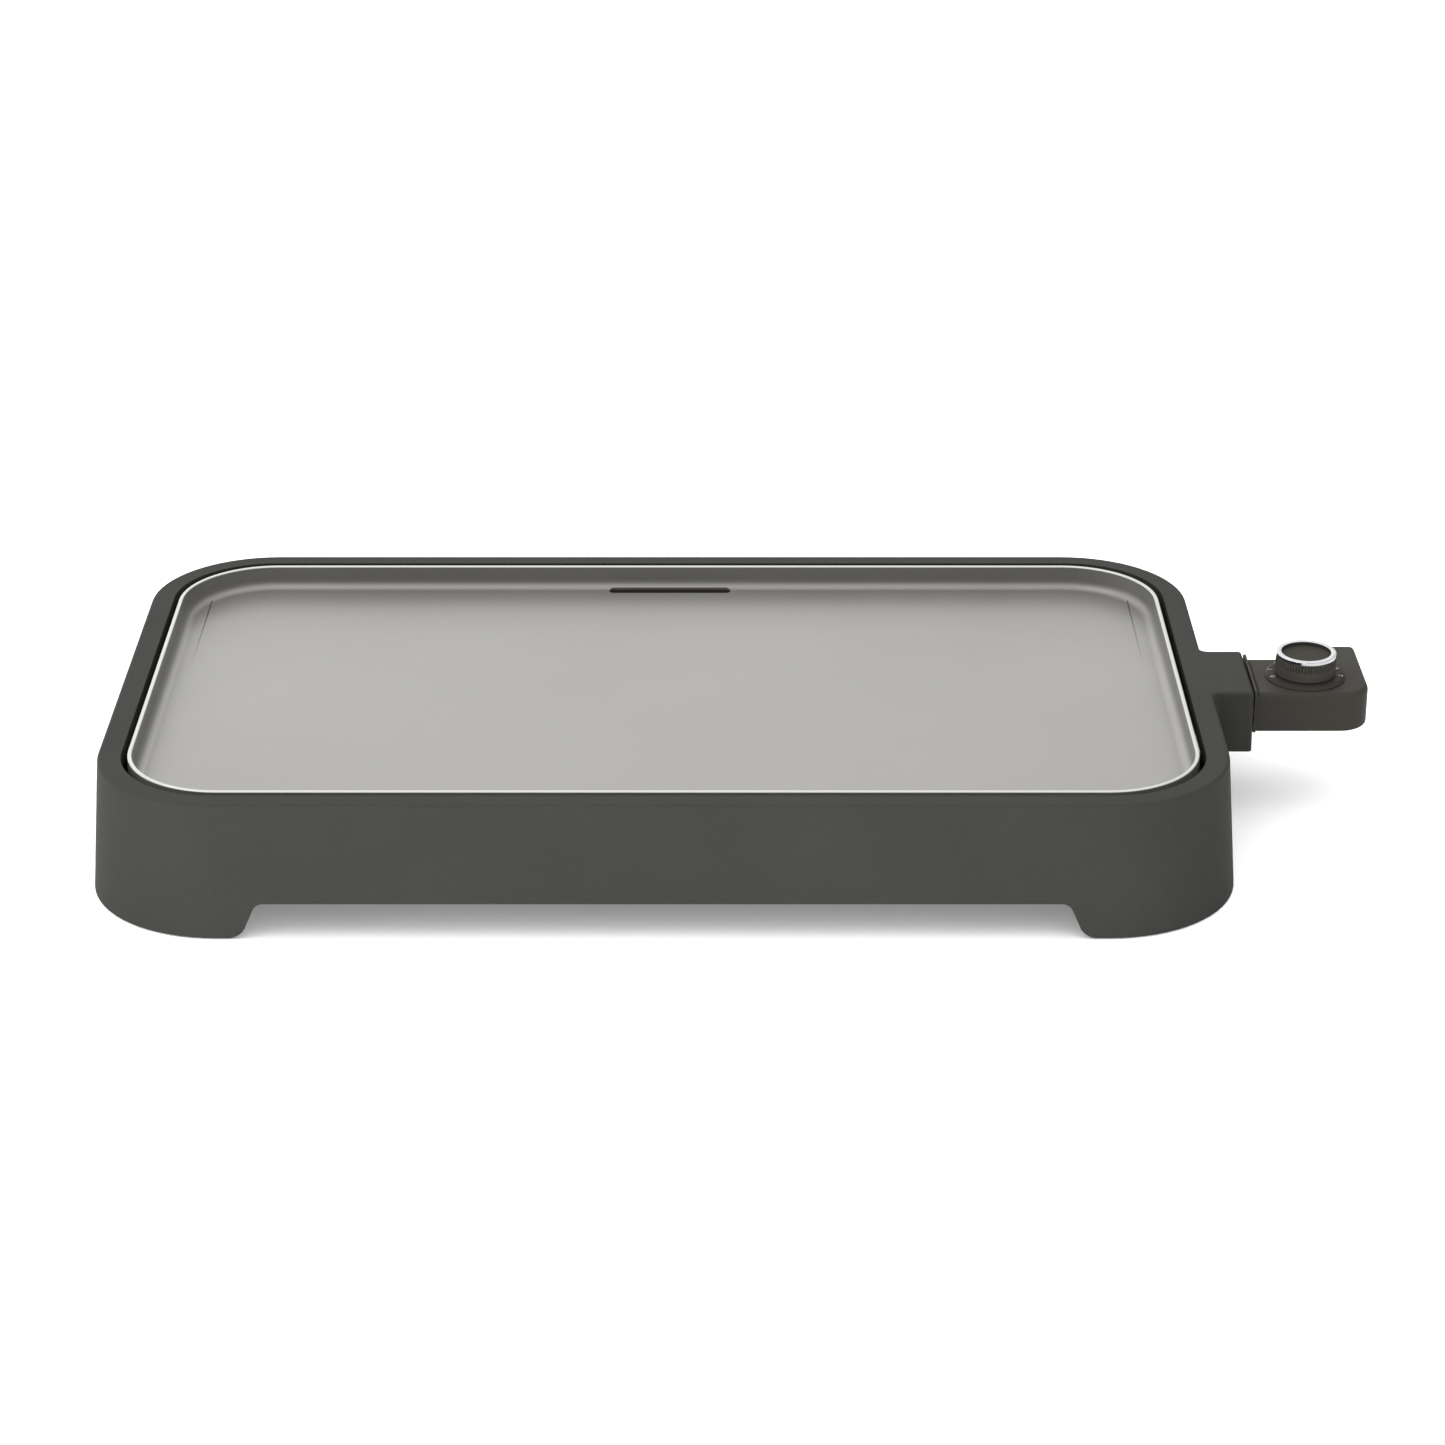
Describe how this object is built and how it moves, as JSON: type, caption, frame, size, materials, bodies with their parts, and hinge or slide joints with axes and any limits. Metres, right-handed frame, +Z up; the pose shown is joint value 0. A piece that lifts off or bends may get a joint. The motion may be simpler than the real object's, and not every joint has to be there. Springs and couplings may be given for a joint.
{
  "type": "electric griddle",
  "caption": "Electric griddle: rectangular cast cooking pan in a moulded base on feet, with a plug-in heat control, a turning knob and a drip tray that slides out at the back.",
  "frame": {"origin": "centre of the whole object's bounding box in plan, on the surface that it stands on", "axes": "+X towards the heat control, +Y towards the back with the drip slot and tray, +Z up"},
  "size_m": [0.6326, 0.3268, 0.079],
  "materials": {
    "base_moulding": "fine spark-eroded texture, heat-resistant moulding",
    "foot_rubber": "soft moulded rubber",
    "cast_plate": "cast, satin grey non-stick coat, bright lip",
    "element_sheath": "dull annealed sheath",
    "spacer_ceramic": "unglazed steatite",
    "plated_steel": "zinc-plated screws and clips",
    "nickel_pins": "nickel-plated, turned",
    "bracket_steel": "zinc-plated sheet",
    "stainless_tube": "drawn stainless tube",
    "tray_moulding": "moulded, lightly textured",
    "control_moulding": "satin heat-resistant moulding",
    "push_rod_alloy": "low-expansion alloy rod",
    "contact_ceramic": "pressed ceramic",
    "spring_brass": "rolled and tinned spring brass",
    "dial_moulding": "satin, printed numbers",
    "pilot_red": "clear red lens",
    "lamp_glass": "small glow lamp",
    "terminal_moulding": "pale moulded block",
    "gland_rubber": "moulded rubber",
    "knob_moulding": "satin moulding, ribbed grip",
    "knob_disc": "satin disc",
    "knob_chrome": "bright plated trim",
    "shaft_steel": "turned steel"
  },
  "bodies": {
    "base": {"base_skirt": "base_moulding", "front_left_foot_pad": "foot_rubber", "front_right_foot_pad": "foot_rubber", "back_left_foot_pad": "foot_rubber", "back_right_foot_pad": "foot_rubber", "griddle_plate": "cast_plate", "heating_element": "element_sheath", "spacer_washers": "spacer_ceramic", "plate_screws": "plated_steel", "terminal_pins": "nickel_pins", "terminal_bracket": "bracket_steel", "terminal_bushes": "spacer_ceramic", "bracket_screws": "plated_steel", "sensor_sleeve": "stainless_tube", "tray_guide": "bracket_steel", "tray_guide_screws": "plated_steel"},
    "tray": {"drip_tray": "tray_moulding"},
    "control": {"probe_collar": "control_moulding", "control_lower_housing": "control_moulding", "control_upper_housing": "control_moulding", "control_screws": "plated_steel", "sensor_rod": "stainless_tube", "sensor_push_rod": "push_rod_alloy", "contact_block": "contact_ceramic", "contact_sleeves": "spring_brass", "thermostat_frame": "bracket_steel", "arm_pivot_pin": "plated_steel", "fixed_contact": "spring_brass", "shaft_bush": "spring_brass", "dial_ring": "dial_moulding", "pilot_lens": "pilot_red", "pilot_lamp": "lamp_glass", "cord_terminals": "terminal_moulding", "cord_terminal_screws": "plated_steel", "cord_gland": "gland_rubber"},
    "contact_arm": {"contact_arm": "spring_brass"},
    "knob": {"knob_body": "knob_moulding", "knob_cap": "knob_disc", "knob_ring": "knob_chrome", "adjusting_shaft": "shaft_steel", "shaft_clip": "plated_steel"}
  },
  "joints": [
    {"name": "control_pull", "type": "slide", "parent": "base", "child": "control", "axis": [1, 0, 0], "range_m": [0, 0.12]},
    {"name": "tray_slide", "type": "slide", "parent": "base", "child": "tray", "axis": [0, 1, 0], "range_m": [0, 0.12]},
    {"name": "knob_turn", "type": "hinge", "parent": "control", "child": "knob", "pos_m": [0.2855, 0, 0.07], "axis": [0, 0, -1], "range_deg": [-119, 89]},
    {"name": "contact_tilt", "type": "hinge", "parent": "control", "child": "contact_arm", "pos_m": [0.279, 0, 0.0584], "axis": [0, 1, 0], "range_deg": [-1.25, 0.95]}
  ],
  "couplings": [
    {"joint": "contact_tilt", "follows": "knob_turn", "ratio": 0.01}
  ]
}
